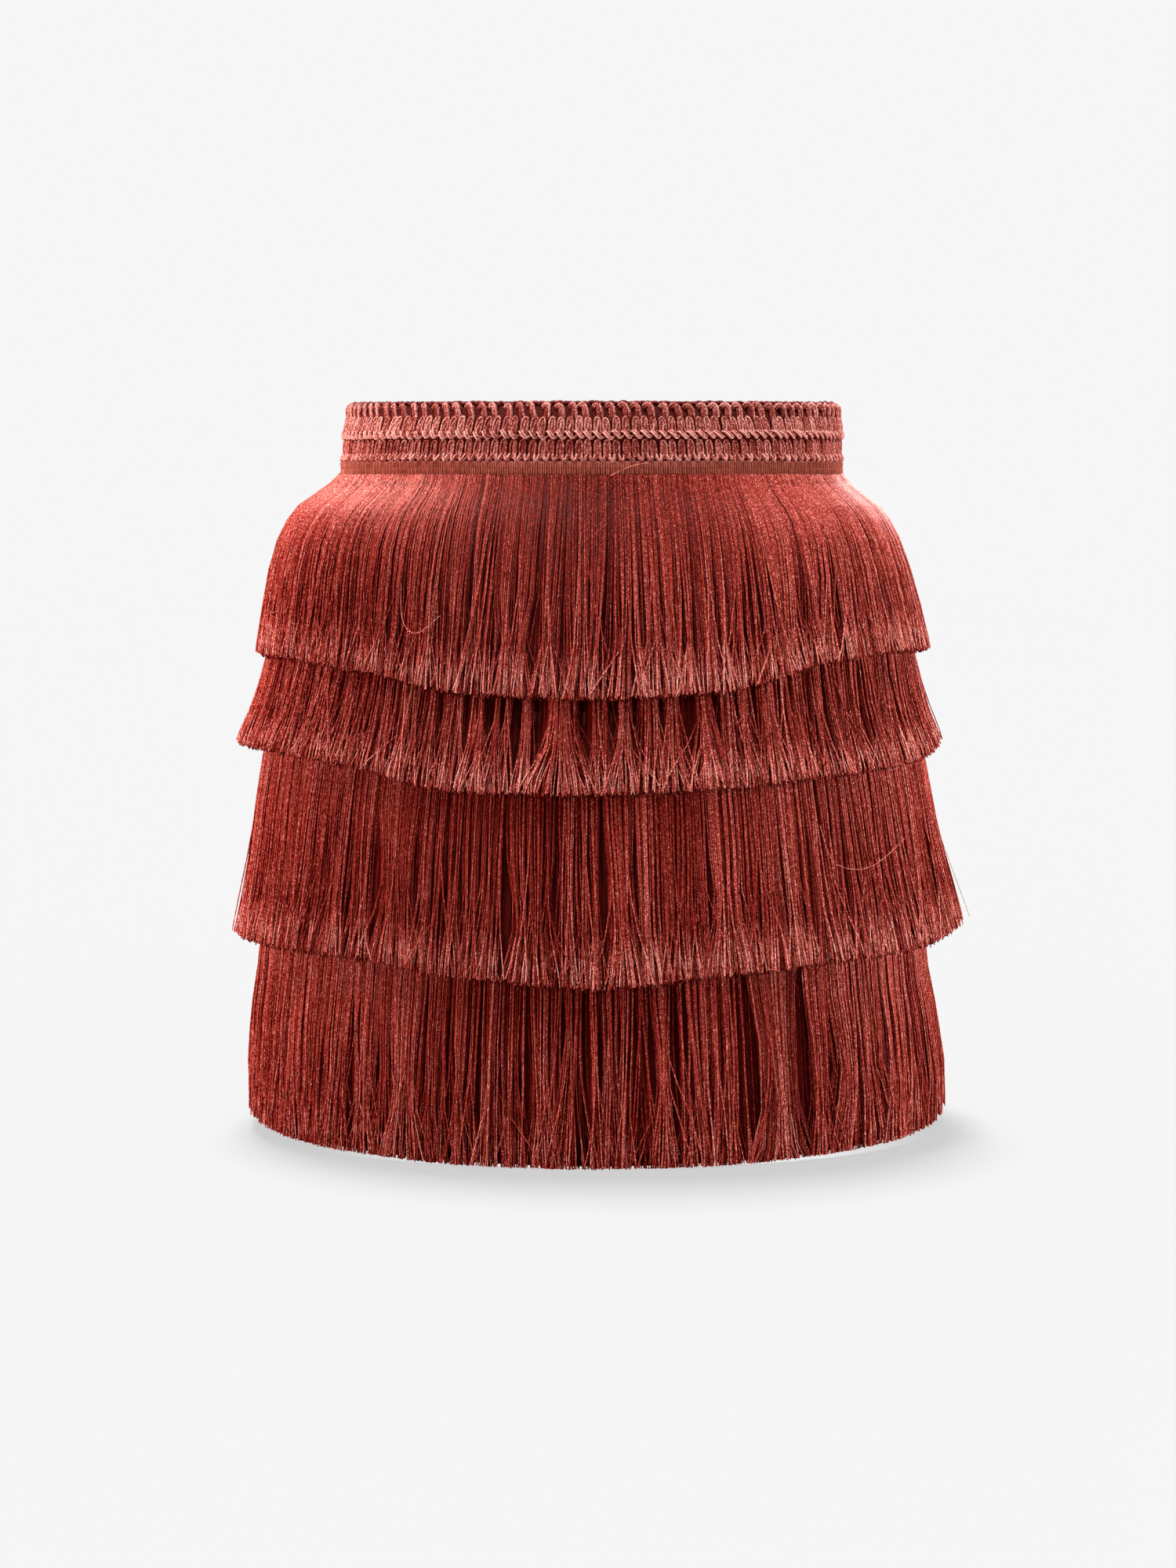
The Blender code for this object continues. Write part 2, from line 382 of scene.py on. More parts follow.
class Finish(Graph):
    """A material with one Principled shader."""

    def __init__(self, name, **fixed):
        self.material = bpy.data.materials.new(name)
        self.material.use_nodes = True
        super().__init__(self.material.node_tree)
        self.shader = self.tree.nodes["Principled BSDF"]
        for socket, value in fixed.items():
            self.shader.inputs[socket.replace("_", " ")].default_value = value
        self.place = self.node("ShaderNodeTexCoord", output="Object")

    def feed(self, **sockets):
        """Links values to the shader's sockets, named with an underscore for each space."""
        for name, value in sockets.items():
            self.tree.links.new(value.socket, self.shader.inputs[name.replace("_", " ")])

    def noise(self, scale, detail=2.0, stretch=(1, 1, 1), strand=0.0):
        """Grain of a size. A strand number gives each thread its own grain."""
        at = self.node("ShaderNodeMapping", None, {"Vector": self.place, "Scale": stretch})
        sockets = {"Vector": at, "W": strand, "Scale": scale, "Detail": detail}
        return self.node("ShaderNodeTexNoise", {"noise_dimensions": "4D"}, sockets)

    def number(self, name):
        """A number that the piece's points carry."""
        return self.node("ShaderNodeAttribute", {"attribute_name": name}, output="Fac")

    def bump(self, height, depth):
        """A relief of this depth, in metres."""
        self.feed(Normal=self.node("ShaderNodeBump", None, {"Height": height, "Distance": depth}))


def bake_modifiers(piece):
    """Makes the piece's evaluated shape its own mesh and takes its modifiers off."""
    evaluated = piece.evaluated_get(bpy.context.evaluated_depsgraph_get())
    mesh = bpy.data.meshes.new_from_object(evaluated)
    piece.modifiers.clear()
    old = piece.data
    piece.data = mesh
    bpy.data.meshes.remove(old)
    mesh.name = piece.name


def cloth_ring(name, hang, columns, rings, out, thick, material):
    """A ring of cloth on a measured wall. out(bearing, share) says how far off it lies."""
    bearings = hang.bearing_at(np.arange(columns) * hang.girth / columns)[None, :]
    shares = np.linspace(0, 1, rings)[:, None]
    points = hang.point(bearings, shares + 0 * bearings, out(bearings, shares)).reshape(-1, 3)
    faces = []
    for upper in range(0, (rings - 1) * columns, columns):
        for here in range(columns):
            there = (here + 1) % columns
            lower = upper + columns
            faces.append((upper + here, lower + here, lower + there, upper + there))
    mesh = bpy.data.meshes.new(name)
    mesh.from_pydata(points.tolist(), [], faces)
    mesh.materials.append(material)
    mesh.shade_smooth()
    piece = bpy.data.objects.new(name, mesh)
    bpy.context.scene.collection.objects.link(piece)
    solid = piece.modifiers.new("wall", "SOLIDIFY")
    solid.thickness = thick
    solid.offset = -1
    bake_modifiers(piece)
    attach(piece, "root")
    return piece


JERSEY_WALL = 0.0010
SEAM_DEPTH = 0.0008
SEAM_SPREAD = 0.0006
SETTLE = 0.0006
WAVES_ROUND = 5
WAVES_DOWN = 6
TUCK = 0.0018
UNDER_TRIMS = 0.0002
JERSEY_DARK = (0.12, 0.016, 0.011, 1)
JERSEY_LIGHT = (0.19, 0.030, 0.022, 1)

jersey = Finish("jersey", Roughness=0.9, Sheen_Weight=0.15)
knit = jersey.noise(1400, 2, (1, 1, 0.35))
jersey.feed(Base_Color=jersey.blend(JERSEY_DARK, JERSEY_LIGHT, knit))
jersey.bump(knit, 0.0003)

base = Hang("base_front", "base_back")


def ease(low, high, value):
    """Runs softly from 0 to 1 while a value goes from low to high."""
    part = np.clip((value - low) / (high - low), 0, 1)
    return part * part * (3 - 2 * part)


def sideways(bearing):
    """How far a bearing is towards a side: 0.3 at the centre front and back, 1 at the sides."""
    return 0.3 + 0.7 * np.sin(bearing) ** 2


def settled(bearing, share):
    """Soft uneven waves in the jersey, a fold in at each side seam, and a tuck at the waist."""
    wave = SETTLE * np.sin(WAVES_ROUND * bearing + WAVES_DOWN * share) * np.sin(math.pi * share)
    seam = np.exp(-((np.abs(np.sin(bearing)) - 1) / SEAM_SPREAD) ** 2)
    tucked = TUCK * sideways(bearing) * (1 - ease(0.02, 0.06, share))
    return wave - SEAM_DEPTH * seam - tucked - UNDER_TRIMS


underskirt = cloth_ring("underskirt", base, 120, 24, settled, JERSEY_WALL, jersey.material)
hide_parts("base_front", "base_back")

# ------------------------------------------------------------------------------------------
# Fringes. Each tier is a dense row of long silky twisted threads that hang from a header
# tape. They start evenly packed, gather into uneven locks further down, with dark gaps
# between the locks, and fan out again just above the hem, which is cut in one line.


def thread_tree():
    """Geometry Nodes that draw a closed thread along every line of a mesh."""
    tree = bpy.data.node_groups.new("thread_along_line", "GeometryNodeTree")
    face = tree.interface
    face.new_socket("Geometry", in_out="OUTPUT", socket_type="NodeSocketGeometry")
    face.new_socket("Lines", in_out="INPUT", socket_type="NodeSocketGeometry")
    face.new_socket("Radius", in_out="INPUT", socket_type="NodeSocketFloat")
    face.new_socket("Sides", in_out="INPUT", socket_type="NodeSocketInt")
    face.new_socket("Material", in_out="INPUT", socket_type="NodeSocketMaterial")
    graph = Graph(tree)
    lines, radius, sides, finish = (graph.node("NodeGroupInput", output=i) for i in range(4))
    curves = graph.node("GeometryNodeMeshToCurve", None, {"Mesh": lines})
    swell = graph.node("GeometryNodeInputNamedAttribute", {"data_type": "FLOAT"}, {"Name": "swell"})
    curves = graph.node("GeometryNodeSetCurveRadius", None, {"Curve": curves, "Radius": swell})
    section = graph.node("GeometryNodeCurvePrimitiveCircle", None, {"Resolution": sides, "Radius": radius})
    parts = {"Curve": curves, "Profile Curve": section, "Scale": swell, "Fill Caps": True}
    threads = graph.node("GeometryNodeCurveToMesh", None, parts)
    threads = graph.node("GeometryNodeSetShadeSmooth", None, {"Geometry": threads})
    threads = graph.node("GeometryNodeRealizeInstances", None, {"Geometry": threads})
    threads = graph.node("GeometryNodeSetMaterial", None, {"Geometry": threads, "Material": finish})
    graph.node("NodeGroupOutput", None, {"Geometry": threads}, output=None)
    return tree


STRIP_COLUMNS = 900
CAP_RADIUS = (0.4, 0.012)
STRIP_EDGE = 0.06
CAP_ROOM = 0.04


def lay_out(mesh, threads, points, sides):
    """A flat map of the threads: each is a narrow upright strip with a column for each side.

    The two end faces of a thread lie as small discs above and below its strip.
    """
    across = round(STRIP_COLUMNS / sides)
    down = math.ceil(threads / across)
    vertex = np.empty(len(mesh.loops), np.int32)
    starts = np.empty(len(mesh.polygons), np.int32)
    counts = np.empty(len(mesh.polygons), np.int32)
    mesh.loops.foreach_get("vertex_index", vertex)
    mesh.polygons.foreach_get("loop_start", starts)
    mesh.polygons.foreach_get("loop_total", counts)
    face = np.repeat(np.arange(len(starts)), counts)
    thread = vertex // (points * sides)
    step = vertex % (points * sides) // sides
    side = vertex % sides
    end = np.minimum.reduceat(step, starts)[face] == np.maximum.reduceat(step, starts)[face]
    spread = (np.maximum.reduceat(side, starts) - np.minimum.reduceat(side, starts))[face]
    column = np.where((spread > 1) & (side == 0), sides, side) / sides
    turn = 2 * math.pi * side / sides
    u_end = 0.5 + CAP_RADIUS[0] * np.cos(turn)
    u = np.where(end, u_end, STRIP_EDGE + (1 - 2 * STRIP_EDGE) * column)
    v_end = np.where(step == 0, 0.015, 0.985) + CAP_RADIUS[1] * np.sin(turn)
    v = np.where(end, v_end, CAP_ROOM + (1 - 2 * CAP_ROOM) * step / (points - 1))
    strips = np.stack([(thread % across + u) / across, (thread // across + v) / down], axis=1)
    mesh.uv_layers.new(name="OFBake").uv.foreach_set("vector", strips.astype(np.float32).ravel())


def swept(name, lines, radius, sides, material, swell=1.0, **marks):
    """Threads along lines, an array of (thread, point, 3). Marks are numbers their points carry."""
    count, points = lines.shape[:2]
    mesh = bpy.data.meshes.new(name)
    mesh.vertices.add(count * points)
    mesh.vertices.foreach_set("co", lines.astype(np.float32).ravel())
    starts = (np.arange(count)[:, None] * points + np.arange(points - 1)[None, :]).ravel()
    ends = np.stack([starts, starts + 1], axis=1)
    mesh.edges.add(len(ends))
    mesh.edges.foreach_set("vertices", ends.astype(np.int32).ravel())
    strand = np.arange(count)[:, None] * 7.31 % 97
    for mark, numbers in {"swell": swell, "strand": strand, **marks}.items():
        numbers = np.broadcast_to(numbers, (count, points)).astype(np.float32)
        mesh.attributes.new(mark, "FLOAT", "POINT").data.foreach_set("value", numbers.ravel())
    piece = bpy.data.objects.new(name, mesh)
    bpy.context.scene.collection.objects.link(piece)
    drawn = piece.modifiers.new("drawn", "NODES")
    drawn.node_group = bpy.data.node_groups.get("thread_along_line") or thread_tree()
    given = {"Radius": radius, "Sides": sides, "Material": material}
    for socket in drawn.node_group.interface.items_tree:
        if socket.name in given:
            drawn[socket.identifier] = given[socket.name]
    bake_modifiers(piece)
    lay_out(piece.data, count, points, sides)
    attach(piece, "root")
    return piece


def locks(girth, mean, uneven, dice):
    """The edges of locks of uneven width, side by side round a ring."""
    widths = dice.lognormal(0, uneven, round(girth / mean))
    return np.concatenate([[0], np.cumsum(widths) * girth / widths.sum()])


def parted(hang, along):
    """How freely a fringe parts: most at the centre front and back, least over the hips."""
    return 0.3 + 0.7 * np.abs(np.cos(hang.bearing_at(along))) ** 2.5


def packed(hang, along, steps):
    """How tightly the threads lie together: over the hips they don't part near the tape."""
    hip = ease(0.42, 0.76, np.abs(np.sin(hang.bearing_at(along))))
    return hip[:, None] * (1 - ease(0.22, 0.62, steps))


# A thread may belong to the lock beside its own. Locks differ in how far they grip their
# threads, and let go of them again from some share of the drop.
LOCK_BLUR = 0.12
GRIP_SPREAD = (1.6, 2.0)
GRIP_RUN = 0.40
FAN_FROM = (0.60, 0.86)
FAN_VARIES = 0.05


def gathered(hang, along, edges, steps, begins, pull, opens, dice):
    """How far threads slide towards the middle of their lock at each step of the drop.

    Gives the lock each thread is in, its slide, its lock's width and how far away the middle is.
    """
    count = len(edges) - 1
    blur = dice.normal(0, LOCK_BLUR, along.shape) * np.mean(np.diff(edges))
    lock = np.clip(np.searchsorted(edges, np.mod(along + blur, edges[-1])) - 1, 0, count - 1)
    middle = (edges[lock] + edges[lock + 1]) / 2
    away = np.mod(middle - along + edges[-1] / 2, edges[-1]) - edges[-1] / 2
    begin = dice.uniform(*begins, count)[lock][:, None]
    grip = (pull[0] + (pull[1] - pull[0]) * dice.beta(*GRIP_SPREAD, count))[lock][:, None]
    fan = dice.uniform(*opens, count)[lock][:, None]
    fan_from = dice.uniform(*FAN_FROM, count)[lock] + dice.normal(0, FAN_VARIES, len(lock))
    fan_from = fan_from[:, None]
    grip = grip * ease(begin, begin + GRIP_RUN, steps) * (1 - ease(fan_from, 1.06, steps))
    grip = grip * parted(hang, middle)[:, None] - fan * ease(fan_from, 1.0, steps)
    return lock, away[:, None] * grip, np.diff(edges)[lock][:, None], away[:, None]


# How far off its plain solid the top tier lies at the sides, at shares of its drop. It comes
# down close under the tape, and bulges over the hips a little forward and back of each side.
SHOULDER = (
    (0.00, -0.0008), (0.04, -0.0010), (0.08, -0.0006), (0.12, 0.0003), (0.18, 0.0011),
    (0.28, 0.0012), (0.40, 0.0005), (0.50, 0.0000), (1.00, 0.0000),
)
HIP_BULGE = 0.0045
HIP_SIDEWAYS = 0.78
HIP_SPREAD = 0.16


def shoulder(bearing, share):
    """The top tier's shape over the hips, as a distance out."""
    shares, outs = np.array(SHOULDER).T
    hip = np.exp(-(((np.abs(np.sin(bearing)) - HIP_SIDEWAYS) / HIP_SPREAD) ** 2))
    hip = hip * ease(0.02, 0.27, share)
    side = np.interp(share, shares, outs) * sideways(bearing)
    return side + HIP_BULGE * hip * (1 - ease(0.3, 0.9, share))


def straight(bearing, share):
    """No shape of its own: the cloth or thread lies on its plain solid."""
    return 0 * bearing * share


THREAD_RADIUS = 0.00038
THREAD_SIDES = 3

# How deep a tier is from its outermost to its innermost threads, at the tape and lower down.
ROOT_DEPTH = 0.0014
HEM_DEPTH = 0.0046

# The threads' shades, with painted shade and light: from the dark between locks to a thread in full
# light, with the painted sparkle of twisted filaments.
SILK_GRAIN_AND_SPARKLE = 2.1
SILK_FILAMENTS = 0.4
SILK_SHADES = (
    (0.00, (0.060, 0.0002, 0.0000, 1)),
    (0.25, (0.172, 0.0020, 0.0006, 1)),
    (0.50, (0.370, 0.0180, 0.0090, 1)),
    (0.75, (0.630, 0.1020, 0.0720, 1)),
    (1.00, (0.940, 0.4100, 0.3450, 1)),
)

silk = Finish(
    "silky_thread", Roughness=0.40, Metallic=0.12, Specular_IOR_Level=0.40, Specular_Tint=(1.0, 0.76, 0.66, 1)
)
# Each thread's grain: its own uneven tone, and painted sparkle of glinting filaments.
grain_and_sparkle = silk.noise(1100, 2, (1, 1, 1.05), silk.number("strand"))
filaments = silk.noise(2600, 1, (1, 1, 0.05))
shade = silk.number("tint") + (grain_and_sparkle - 0.5) * SILK_GRAIN_AND_SPARKLE + (filaments - 0.5) * SILK_FILAMENTS
silk.feed(Base_Color=silk.node("ShaderNodeValToRGB", {"stops": SILK_SHADES}, {"Fac": shade}))
silk.bump(grain_and_sparkle, 0.0006)

# Locks come in two sizes, wide ones made of fine ones. Each stands out in a dome, leans by the
# hem, swings in or out, and has a shade of its own. Widths, leans and domes are in metres.
FINE_WIDTH = 0.0021
WIDE_UNEVEN, FINE_UNEVEN = 0.6, 0.45
FINE_PULL = (0.2, 0.8)
WIDE_OPENS, FINE_OPENS = (-0.1, 0.5), (-0.1, 0.6)
WIDE_LEAN, FINE_LEAN = 0.0024, 0.0021
WIDE_DOME, FINE_DOME = 0.0018, 0.0008
WIDE_SWING = 0.0006
WIDE_SHADE, FINE_SHADE = 0.035, 0.04
# Painted shade between the wide and the fine locks.
WIDE_PAINTED_GAP, FINE_PAINTED_GAP = 0.13, 0.28

# How much of the domes and of the locks' shades is lost where the threads lie packed.
PACKED_DOME, PACKED_FINE_DOME, PACKED_SHADE = 0.6, 0.9, 0.75

# Each thread also goes its own way a little, and more so at its tip.
OWN_LEAN = 0.0009
OWN_WAVE = (0.0001, 0.0006)
OWN_SWING = 0.0003
OWN_SHADE = 0.045
SPLAY_FROM = (0.45, 0.85)
SPLAY = 0.0028
TIP_OUT = (0.0004, 0.0032)
BODY_IN = 0.0012
# Painted shade deep in the tier, painted light at the root and the tip, and the lightest shade.
DEEP_PAINTED_SHADE = 0.42
LIT_ROOT = 0.10
LIT_TIP_LIMIT = 0.45
LIGHTEST = 0.92
STRAY_DRIFT = (0.004, 0.014)
STRAY_SHADE = 0.12


def fringe(number, hang, shape, painted_root_shade, count, levels, lock_width, pull, begins, strays,
           ragged, tone, lit_tips, seed):
    """One tier's threads: a piece of outer threads, and a piece of inner ones behind, darker by painted
    shade.
    """
    dice = np.random.default_rng(seed)
    wide = locks(hang.girth, lock_width, WIDE_UNEVEN, dice)
    fine = locks(hang.girth, FINE_WIDTH, FINE_UNEVEN, dice)
    wide_lean = dice.normal(0, WIDE_LEAN, len(wide) - 1)
    fine_lean = dice.laplace(0, FINE_LEAN, len(fine) - 1)
    wide_swing = dice.normal(0, WIDE_SWING, len(wide) - 1)
    wide_tint = dice.normal(0, WIDE_SHADE, len(wide) - 1)
    fine_tint = dice.normal(0, FINE_SHADE, len(fine) - 1)

    pieces = []
    # How firmly each layer's threads are held in their locks, and how deep they lie: 0 innermost.
    for layer, threads, steps, held, near, far in (
        ("outer", count[0], levels[0], 1.0, 0.4, 1.0),
        ("inner", count[1], levels[1], 0.3, 0.0, 0.35),
    ):
        # Where each thread starts: how far round, how deep in the tier, and in which locks.
        steps = np.array(steps)[None, :]
        along = (np.arange(threads) + dice.uniform(-0.5, 0.5, threads)) * hang.girth / threads
        depth = dice.uniform(near, far, threads)
        in_fine, fine_slide, fine_width, fine_away = gathered(
            hang, along, fine, steps, begins, FINE_PULL, FINE_OPENS, dice
        )
        in_wide, wide_slide, width, away = gathered(
            hang, along, wide, steps, begins, pull, WIDE_OPENS, dice
        )
        parts = parted(hang, along)
        smooth = packed(hang, along, steps)

        # How far it slides along the tier on its way down.
        slide = fine_slide * held + wide_slide * held
        lean = (wide_lean[in_wide] + fine_lean[in_fine]) * (0.35 + 0.65 * parts)
        slide = slide + lean[:, None] * steps**1.5
        slide = slide + dice.normal(0, OWN_LEAN, threads)[:, None] * steps**1.3
        splay = ease(dice.uniform(*SPLAY_FROM, threads)[:, None], 1.05, steps)
        slide = slide + dice.laplace(0, SPLAY, threads)[:, None] * splay
        phase = dice.uniform(0, 2 * math.pi, threads)[:, None]
        slide = slide + dice.uniform(*OWN_WAVE, threads)[:, None] * steps * np.sin(phase + 8 * steps)

        # How far out it lies: most in the middle of its locks, and out again at its tip.
        off_wide = np.clip(np.abs(away) / (width / 2), 0, 1)
        dome = (np.sqrt(1 - off_wide**2) - 0.6) * ease(0.1, 0.6, steps)
        dome = dome * (1 - 0.6 * ease(0.85, 1, steps))
        dome = dome * (1 - PACKED_DOME * smooth)
        off_fine = np.clip(np.abs(fine_away) / (fine_width / 2), 0, 1)
        fine_dome = (np.sqrt(1 - off_fine**2) - 0.7) * ease(0.04, 0.40, steps)
        fine_dome = fine_dome * (1 - 0.5 * ease(0.85, 1, steps))
        fine_dome = fine_dome * (1 - PACKED_FINE_DOME * smooth)
        room = ROOT_DEPTH + (HEM_DEPTH - ROOT_DEPTH) * ease(0.05, 0.8, steps)
        out = -(1 - depth[:, None]) * room - THREAD_RADIUS
        out = out + (WIDE_DOME * dome + FINE_DOME * fine_dome) * held
        out = out + wide_swing[in_wide][:, None] * ease(0.2, 0.9, steps) * held
        out = out + dice.normal(0, OWN_SWING, threads)[:, None] * steps
        out = out - BODY_IN * ease(0.4, 0.8, steps)
        out = out + dice.uniform(*TIP_OUT, threads)[:, None] * splay

        # How light it is, in painted shade and painted light: painted shade deep in the tier, between
        # locks and under the tape, a little painted light over the hips where the threads lie packed,
        # and painted light at the root and at the tip, less at the cut end.
        lock_tint = (wide_tint[in_wide] + fine_tint[in_fine])[:, None] * (1 - PACKED_SHADE * smooth)
        tint = tone - 0.03 + DEEP_PAINTED_SHADE * ease(0.1, 0.9, depth)
        tint = (tint + dice.normal(0, OWN_SHADE, threads))[:, None] + lock_tint
        front = parts[:, None]
        painted_gap_shade = (FINE_PAINTED_GAP * off_fine**3 + WIDE_PAINTED_GAP * off_wide**4) * (0.25 + 0.75 * front) * (1 - smooth)
        tint = tint - painted_gap_shade + 0.07 + 0.04 * smooth
        tint = tint - painted_root_shade * front * (1 - ease(0.15, 0.6, steps))
        tip_light = lit_tips * depth * (0.04 + dice.exponential(0.34, threads)) * (0.5 + 0.5 * parts)
        tip_light = np.minimum(tip_light, LIT_TIP_LIMIT)[:, None] * ease(0.78, 0.94, steps)
        tip_light = tip_light * (1 - 0.4 * ease(0.94, 1.0, steps))
        tint = np.minimum(tint + tip_light + LIT_ROOT * (1 - ease(0.0, 0.12, steps)), LIGHTEST)

        if layer == "outer":
            # A few threads have come out of their locks and drift across the others.
            loose = np.argsort(dice.random(threads))[: round(threads * strays)]
            drift = dice.choice([-1, 1], len(loose)) * dice.uniform(*STRAY_DRIFT, len(loose))
            slide[loose] += drift[:, None] * steps ** dice.uniform(1.2, 3.5, len(loose))[:, None]
            proud = dice.uniform(0, 0.0010, len(loose))[:, None] - 0.0008
            out[loose] = 0.0010 * ease(0.2, 0.7, steps) + proud
            tint[loose] += STRAY_SHADE

        # Inner threads are cut a little longer, and all of them a little unevenly.
        out = out + shape(hang.bearing_at(along)[:, None], steps)
        length = 1 + ((1 - depth) * 6 * ragged + dice.normal(0, ragged, threads)) / hang.drop
        lines = hang.point(hang.bearing_at(along[:, None] + slide), steps * length[:, None], out)
        swell = (1.05 - 0.12 * steps) * dice.uniform(0.8, 1.15, threads)[:, None]
        piece = swept(
            f"fringe_{number}_{layer}", lines, THREAD_RADIUS, THREAD_SIDES, silk.material, swell, tint=tint
        )
        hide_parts(f"fringe_{number}")
        pieces.append(piece)
    return pieces


CORE_WALL = 0.0005
CORE_GAP = 0.0008
CORE_COLUMNS = 240
CORE_RIB = 0.0004
# The innermost threads are real, but their near-black colour is painted shade deep in the tier.
CORE_DARK = (0.060, 0.0008, 0.0004, 1)
CORE_LIGHT = (0.21, 0.0095, 0.0050, 1)

inner_threads = Finish("inner_threads", Roughness=0.8, Specular_IOR_Level=0.05)
streaks = inner_threads.noise(900, 2, (1, 1, 0.03))
inner_threads.feed(Base_Color=inner_threads.blend(CORE_DARK, CORE_LIGHT, streaks))
inner_threads.bump(streaks, 0.0006)


def fringe_core(number, hang, shape, rings, seed):
    """The innermost threads of a tier, as one ribbed wall, made dark by painted shade."""
    dice = np.random.default_rng(seed)
    ribs = dice.normal(0, 0.0003, CORE_COLUMNS)
    ribs = ribs + np.where(np.arange(CORE_COLUMNS) % 2, CORE_RIB, -CORE_RIB)

    def out(bearing, share):
        deep = ROOT_DEPTH + (HEM_DEPTH - ROOT_DEPTH) * ease(0.05, 0.8, share)
        return ribs[None, :] * ease(0, 0.2, share) - deep - CORE_GAP + shape(bearing, share)

    core = cloth_ring(
        f"fringe_{number}_core", hang, CORE_COLUMNS, rings, out, CORE_WALL, inner_threads.material
    )
    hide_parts(f"fringe_{number}")
    return core


# The shares of the drop at which outer and inner threads have a point. The top tier curves.
TOP_LEVELS = ([0, 0.05, 0.11, 0.18, 0.26, 0.37, 0.54, 0.76, 0.94, 1], [0, 0.10, 0.22, 0.45, 0.75, 1])
LOWER_LEVELS = ([0, 0.36, 0.52, 0.66, 0.79, 0.94, 1], [0, 0.4, 0.7, 0.88, 1])

# For each tier: how many outer and inner threads, where they bend, the mean width of its wide
# locks, how strongly they gather and from which share of the drop, the share of stray threads,
# how uneven the hem is, how light the threads are, and how much painted light their tips get.
tiers = {}
for number, count, levels, lock_width, pull, begins, strays, ragged, tone, lit_tips in (
    (1, (3300, 1300), TOP_LEVELS, 0.0080, (0.05, 0.55), (0.35, 0.75), 0.006, 0.0005, 0.12, 1.4),
    (2, (3750, 1500), LOWER_LEVELS, 0.0085, (0.25, 0.90), (0.00, 0.35), 0.006, 0.0005, 0.12, 1.2),
    (3, (3750, 1500), LOWER_LEVELS, 0.0075, (0.05, 0.80), (0.10, 0.50), 0.007, 0.0005, 0.11, 1.2),
    (4, (3750, 1250), LOWER_LEVELS, 0.0085, (0.15, 0.90), (0.10, 0.50), 0.008, 0.0002, 0.14, 0.3),
):
    hang = Hang(f"fringe_{number}")
    # Each tier gets painted shade at its top, under the tape and the tier above, most at the front.
    shape, core_rings, painted_root_shade = (shoulder, 19, 0.17) if number == 1 else (straight, 7, 0.15)
    threads = fringe(
        number, hang, shape, painted_root_shade, count, levels, lock_width, pull, begins, strays,
        ragged, tone, lit_tips, seed=10 + number,
    )
    core = fringe_core(number, hang, shape, core_rings, seed=20 + number)
    tiers[number] = [*threads, core]

# ------------------------------------------------------------------------------------------
# Header tapes. The loops of each fringe are caught in a narrow ribbed tape of two courses,
# which is sewn round the underskirt. Only the top one shows, between the band and the fringe.

TAPE_WALL = 0.0008
TAPE_IN = 0.0002
TAPE_COURSES = ((0.52, 1.02), (0.02, 0.47))
TAPE_LINT = 0.9
RIB_LOOP_PITCH = 0.0025
RIB_RADIUS = 0.00040
RIB_UNEVEN = 0.04
RIB_LOOP = ((-0.25, 0.0), (-0.25, 0.80), (-0.14, 0.97), (0.14, 0.97), (0.25, 0.80), (0.25, 0.0))
TAPE_DARK = (0.17, 0.022, 0.010, 1)
TAPE_LIGHT = (0.46, 0.102, 0.060, 1)
GROUND_DARK = (0.16, 0.018, 0.009, 1)
GROUND_LIGHT = (0.34, 0.058, 0.033, 1)

ribbed = Finish("ribbed_tape", Roughness=0.75, Specular_IOR_Level=0.25)
lint = ribbed.noise(1300, 2)
tape_shade = ribbed.number("tint") + (lint - 0.5) * TAPE_LINT
ribbed.feed(Base_Color=ribbed.blend(TAPE_DARK, TAPE_LIGHT, tape_shade))
ribbed.bump(lint, 0.0003)
woven = Finish("tape_ground", Roughness=0.85, Specular_IOR_Level=0.2)
woven_grain = woven.noise(1500, 2, (1, 1, 0.5))
woven.feed(Base_Color=woven.blend(GROUND_DARK, GROUND_LIGHT, woven_grain))
woven.bump(woven_grain, 0.0003)


def tape_lean(bearing, share):
    """The top tape leans in at the sides, down to where its fringe starts."""
    return -sideways(bearing) * (0.0003 + 0.0011 * share)


def tape_ribs(number, hang):
    """The upright ribs of a tape: loops of fine yarn in an upper and a lower course."""
    dice = np.random.default_rng(40 + number)
    count = round(hang.girth / RIB_LOOP_PITCH)
    across, up = np.array(RIB_LOOP).T
    middles = np.arange(count)[:, None] + dice.normal(0, RIB_UNEVEN, count)[:, None]
    along = (middles + across) * hang.girth / count
    courses = []
    for low, high in TAPE_COURSES:
        shares = 1 - low - (high - low) * (up + dice.normal(0, RIB_UNEVEN, count)[:, None])
        out = np.where(up > 0.9, -0.0005, -0.0001) + dice.normal(0, 0.00006, count)[:, None]
        out = out + tape_lean(hang.bearing_at(along), shares)
        courses.append(hang.point(hang.bearing_at(along), shares, out))
    lines = np.concatenate(courses)
    tint = dice.normal(0.6, 0.15, len(lines))[:, None]
    ribs = swept(f"tape_{number}_ribs", lines, RIB_RADIUS, THREAD_SIDES, ribbed.material, tint=tint)
    return ribs


trims = []
for number in (1, 2, 3, 4):
    hang = Hang(f"tape_{number}")
    lean = tape_lean if number == 1 else straight
    tape = cloth_ring(
        f"tape_{number}_ground", hang, 144, 3, lambda b, s: lean(b, s) - TAPE_IN, TAPE_WALL, woven.material
    )
    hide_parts(f"tape_{number}")
    trims += [tape, *tiers[number]]
    if number == 1:
        trims.append(tape_ribs(number, hang))

# ------------------------------------------------------------------------------------------
# Waistband. Three rows of crochet in a thick matt yarn, worked on a ground sheet painted dark as
# the shade inside the band. The lower two are close double loops over a chain, the top one is
# open posts under an edge chain.

